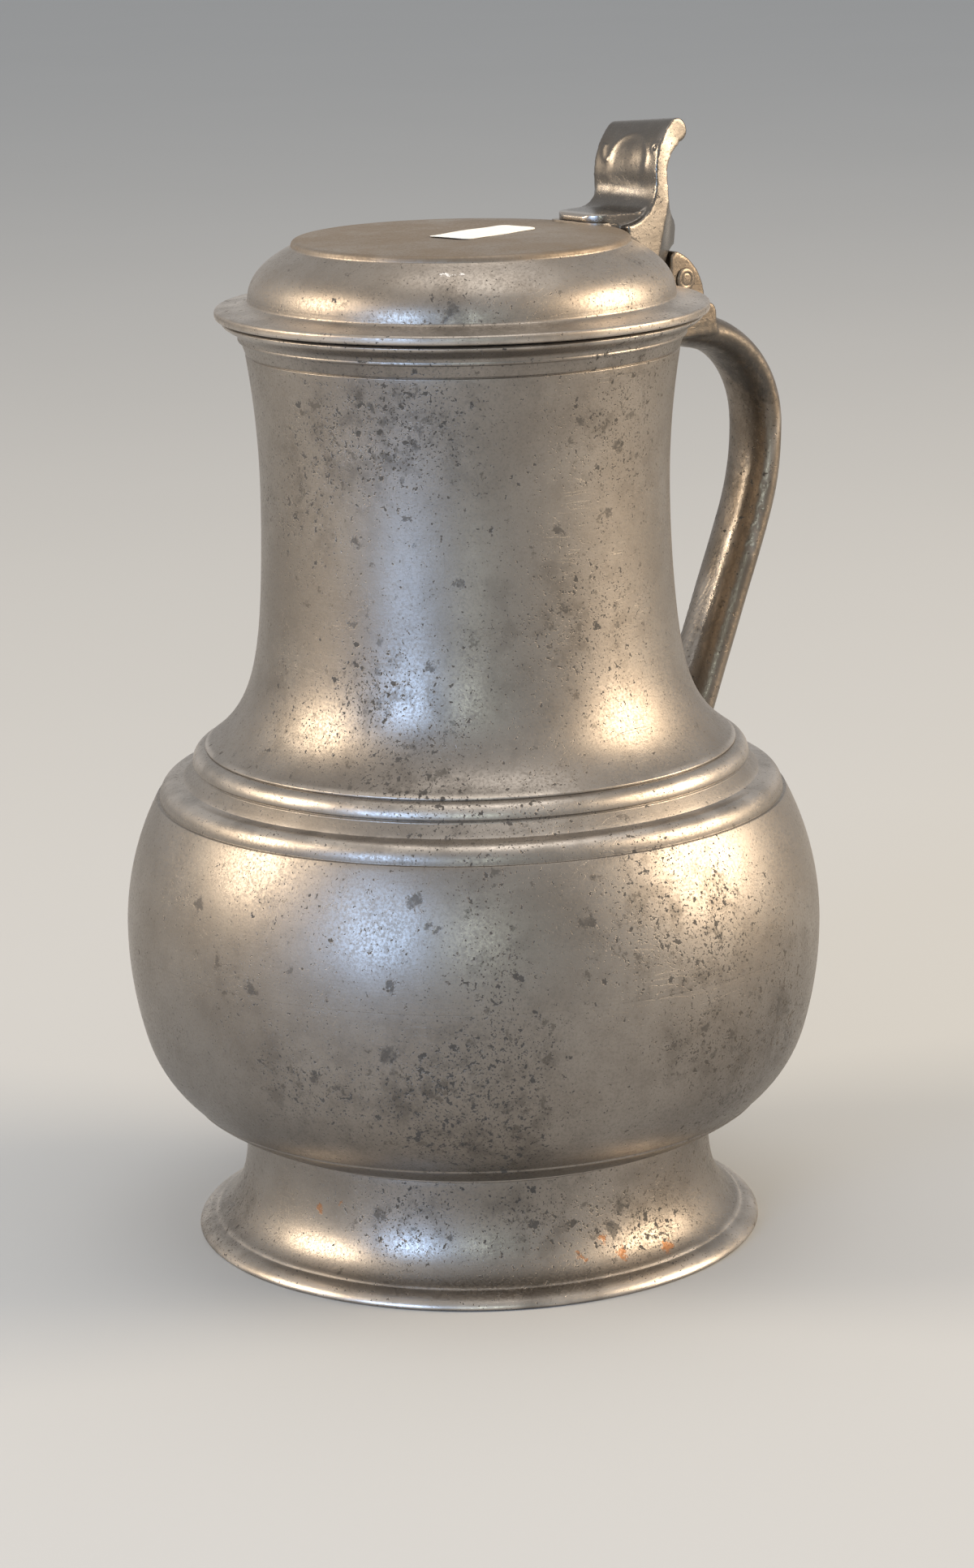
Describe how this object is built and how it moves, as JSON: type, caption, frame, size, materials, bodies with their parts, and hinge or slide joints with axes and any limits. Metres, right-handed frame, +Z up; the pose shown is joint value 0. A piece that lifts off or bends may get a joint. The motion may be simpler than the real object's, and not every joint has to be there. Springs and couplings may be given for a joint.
{
  "type": "lidded flagon",
  "caption": "Lidded pewter flagon with a round belly, tall waisted neck, spreading foot, strap handle and a hinged domed lid with an upright thumbpiece.",
  "frame": {"origin": "on the body's turning axis, at the plane the foot rests on", "axes": "+Z up along the turning axis, +X towards the handle, +Y along the lid's hinge pin"},
  "size_m": [0.1877, 0.1714, 0.2708],
  "materials": {
    "pewter_body": "satin",
    "pewter_lid": "satin",
    "pewter_handle": "satin",
    "pewter_thumbpiece": "satin",
    "solder": "satin",
    "pin_iron": "matte"
  },
  "bodies": {
    "vessel": {"foot": "pewter_body", "foot_solder": "solder", "belly_lower": "pewter_body", "bottom_disc": "pewter_body", "belly_upper": "pewter_body", "neck": "pewter_body", "handle": "pewter_handle", "handle_top_solder": "solder", "handle_foot_solder": "solder", "hinge_pin": "pin_iron", "pin_caps": "pewter_handle"},
    "lid_assembly": {"lid": "pewter_lid", "lid_bezel": "pewter_lid", "thumbpiece": "pewter_thumbpiece", "tongue_solder": "solder"}
  },
  "joints": [
    {"name": "lid_hinge", "type": "hinge", "parent": "vessel", "child": "lid_assembly", "pos_m": [0.0649, 0, 0.2308], "axis": [0, 1, 0], "range_deg": [0, 120]}
  ]
}
